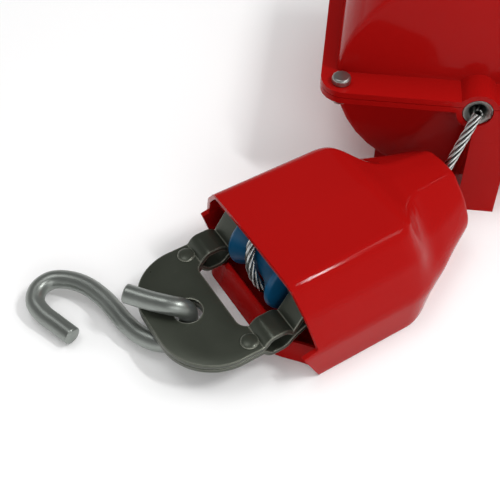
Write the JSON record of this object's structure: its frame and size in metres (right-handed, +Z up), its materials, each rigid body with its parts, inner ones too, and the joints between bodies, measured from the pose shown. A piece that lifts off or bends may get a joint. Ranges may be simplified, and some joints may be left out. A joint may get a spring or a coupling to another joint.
{
  "type": "come along winch",
  "caption": "Hand winch with a ratchet lever, a wound steel cable, a moulded two-part housing and a hook end with a spool, swivelling hook and pitching hook frame.",
  "frame": {"origin": "on the flat underside of the hook end's cover, on the middle line of its pull, below the foot of the cover's side lips", "axes": "+X from the hook along the pull to the cable's exit, +Y to the left of the pull, +Z up from the surface that the winch lies on"},
  "size_m": [0.4547, 0.2173, 0.121],
  "materials": {
    "red": "gloss",
    "blue": "satin",
    "plate": "satin",
    "steel": "satin",
    "zinc": "satin",
    "alloy": "satin",
    "cable": "satin",
    "black": "matt"
  },
  "bodies": {
    "winch_body": {"main_cover_upper": "red", "main_cover_lower": "red", "cover_bolt_front_left": "zinc", "cover_bolt_front_right": "zinc", "cover_bolt_rear_left": "zinc", "cover_bolt_rear_right": "zinc", "fairlead": "steel", "side_plate_left": "steel", "side_plate_right": "steel", "tie_rod_front_lower": "steel", "tie_rod_front_upper": "steel", "tie_rod_rear_lower": "steel", "tie_rod_rear_upper": "steel", "rear_strap": "steel", "drum_lead": "cable", "holding_pawl_pin": "zinc", "holding_pawl_spring": "steel"},
    "drum_and_shaft": {"drum": "steel", "cable_winding": "cable", "drum_shaft": "zinc", "ratchet_wheel": "steel", "drive_wheel": "zinc", "shaft_nut": "zinc"},
    "holding_pawl": {"holding_pawl": "zinc"},
    "lever": {"lever_arm": "plate", "lever_grip": "black", "drive_pawl_pin": "zinc", "drive_pawl_spring": "steel"},
    "drive_pawl": {"drive_pawl": "zinc"},
    "rear_hook": {"rear_hook": "steel"},
    "hook_end": {"end_cover_upper": "red", "end_cover_lower": "red", "end_cover_screw_left": "zinc", "end_cover_screw_right": "zinc", "cable_eye": "cable", "cable_sleeve": "alloy", "cable_run": "cable"},
    "hook_frame": {"frame_plate_upper": "plate", "frame_plate_lower": "plate", "front_rivet_left": "plate", "front_rivet_right": "plate", "tail_rivet_left": "plate", "tail_rivet_right": "plate", "spool_axle": "zinc", "spacer_left": "zinc", "spacer_right": "zinc"},
    "spool": {"thimble_spool": "blue"},
    "front_hook": {"front_hook": "steel"}
  },
  "joints": [
    {"name": "drum_spin", "type": "hinge", "parent": "winch_body", "child": "drum_and_shaft", "pos_m": [0.16682, 0.06526, 0.06], "axis": [0.7804, -0.6252, 0], "continuous": true},
    {"name": "lever_swing", "type": "hinge", "parent": "winch_body", "child": "lever", "pos_m": [0.16682, 0.06526, 0.06], "axis": [0.7804, -0.6252, 0], "range_deg": [0, 120]},
    {"name": "holding_pawl_pivot", "type": "hinge", "parent": "winch_body", "child": "holding_pawl", "pos_m": [0.17465, 0.02033, 0.07763], "axis": [0.7804, -0.6252, 0], "range_deg": [0, 20], "stiffness_Nm_per_rad": 0.02, "springref_deg": -28.65},
    {"name": "drive_pawl_pivot", "type": "hinge", "parent": "lever", "child": "drive_pawl", "pos_m": [0.2506, 0.03868, 0.06], "axis": [0.7804, -0.6252, 0], "range_deg": [-10, 10], "stiffness_Nm_per_rad": 0.05},
    {"name": "rear_hook_swing", "type": "hinge", "parent": "winch_body", "child": "rear_hook", "pos_m": [0.22184, 0.13393, 0.05853], "axis": [0.7804, -0.6252, 0], "range_deg": [-10, 75]},
    {"name": "hook_end_turn", "type": "hinge", "parent": "winch_body", "child": "hook_end", "pos_m": [0.12117, 0.00316, 0.0577], "axis": [0, 0, 1], "range_deg": [-10, 75]},
    {"name": "frame_pitch", "type": "hinge", "parent": "hook_end", "child": "hook_frame", "pos_m": [0.01, 0, 0.0275], "axis": [0, 1, 0], "range_deg": [0, 45]},
    {"name": "spool_spin", "type": "hinge", "parent": "hook_end", "child": "spool", "pos_m": [0.01, 0, 0.0275], "axis": [0, 1, 0], "continuous": true},
    {"name": "front_hook_swivel", "type": "hinge", "parent": "hook_frame", "child": "front_hook", "pos_m": [-0.0385, 0, 0.0175], "axis": [0, 0, 1], "range_deg": [-45, 60]}
  ]
}
